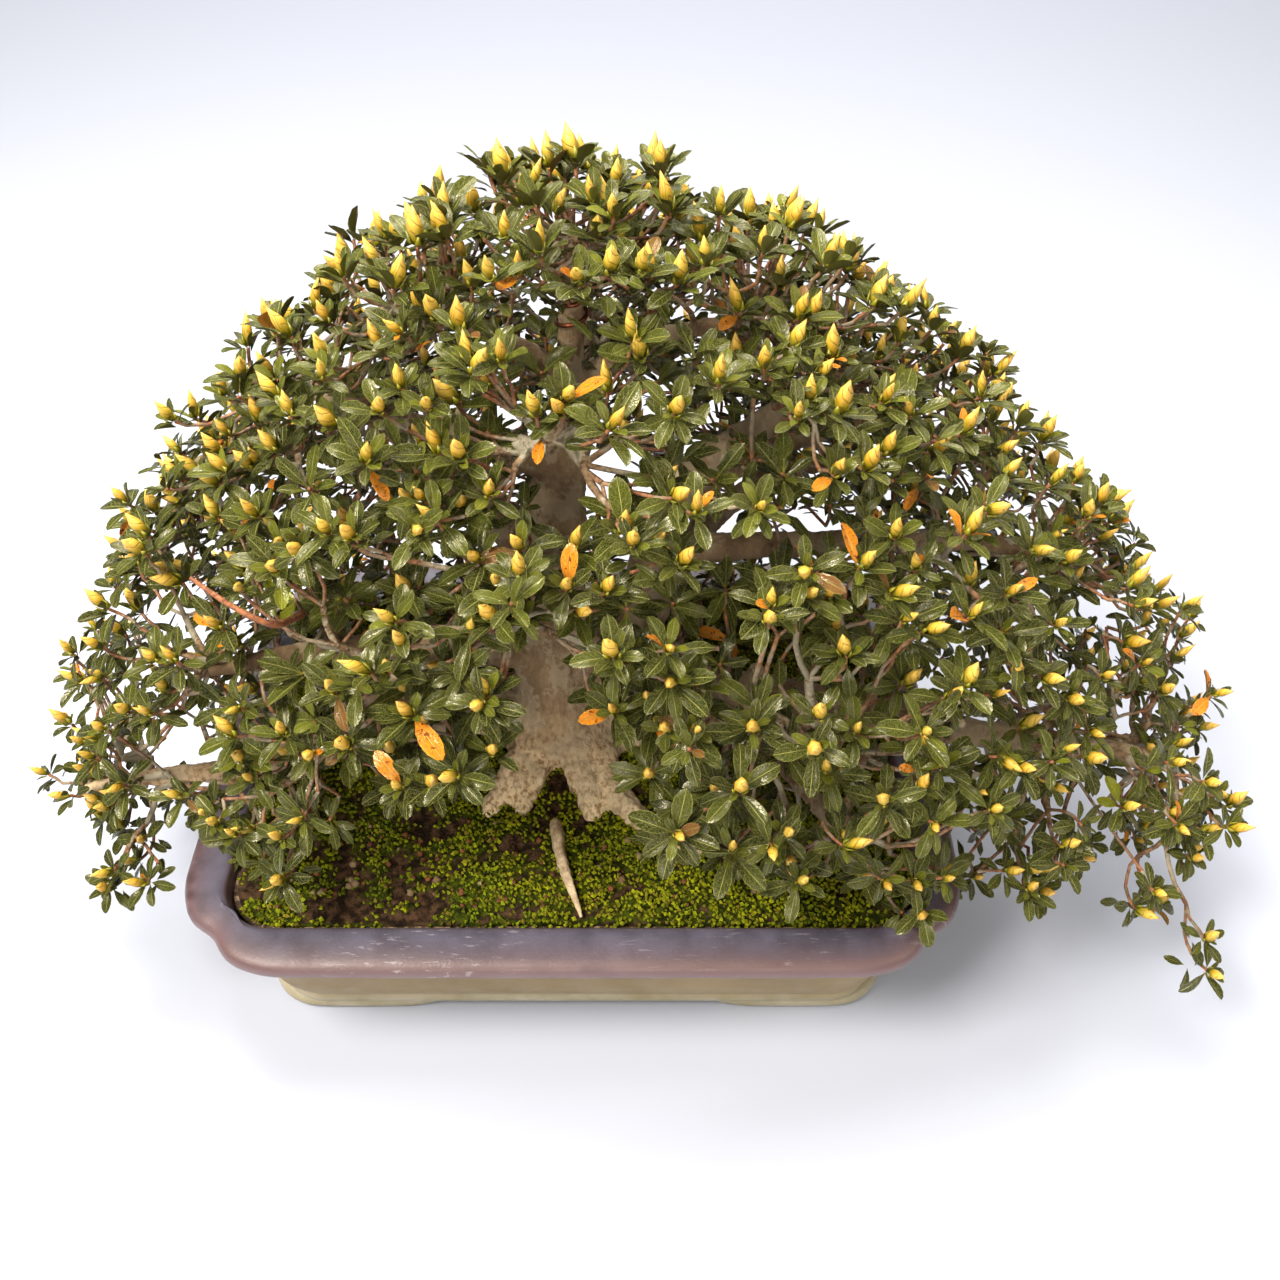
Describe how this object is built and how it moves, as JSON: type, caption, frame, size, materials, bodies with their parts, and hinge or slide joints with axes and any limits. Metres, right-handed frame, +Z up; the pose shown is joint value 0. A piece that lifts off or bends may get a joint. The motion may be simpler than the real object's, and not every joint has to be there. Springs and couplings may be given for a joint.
{
  "type": "satsuki azalea bonsai",
  "caption": "Satsuki azalea bonsai with a low domed crown of small whorled leaves and winter buds, on a flared trunk in a shallow stoneware tray.",
  "frame": {"origin": "middle of the whole bonsai's footprint, crown included, at the level the tray's feet stand on", "axes": "+X along the tray and the longer way of the crown, +Y to the back of the tree, +Z up the trunk"},
  "size_m": [0.6144, 0.3132, 0.4028],
  "materials": {
    "stoneware": "satin",
    "soil": "matte",
    "moss": "matte",
    "bark": "matte",
    "pale_root": "matte",
    "foliage": "satin",
    "copper": "satin",
    "black_plastic": "matte"
  },
  "bodies": {
    "root": {"dead_root": "pale_root", "drain_mesh_left": "black_plastic", "drain_mesh_right": "black_plastic", "moss": "moss", "pot": "stoneware", "soil": "soil", "spray_01": "foliage", "spray_02": "foliage", "spray_03": "foliage", "spray_04": "foliage", "spray_05": "foliage", "spray_06": "foliage", "spray_07": "foliage", "spray_08": "foliage", "spray_09": "foliage", "spray_10": "foliage", "spray_11": "foliage", "spray_12": "foliage", "spray_13": "foliage", "spray_14": "foliage", "spray_15": "foliage", "spray_16": "foliage", "spray_17": "foliage", "spray_18": "foliage", "spray_19": "foliage", "spray_20": "foliage", "spray_21": "foliage", "spray_22": "foliage", "spray_23": "foliage", "spray_24": "foliage", "spray_25": "foliage", "spray_26": "foliage", "spray_27": "foliage", "spray_28": "foliage", "spray_29": "foliage", "spray_30": "foliage", "spray_31": "foliage", "spray_32": "foliage", "spray_33": "foliage", "spray_34": "foliage", "spray_35": "foliage", "spray_36": "foliage", "spray_37": "foliage", "spray_38": "foliage", "training_wire": "copper", "tree_wood": "bark"}
  },
  "joints": []
}
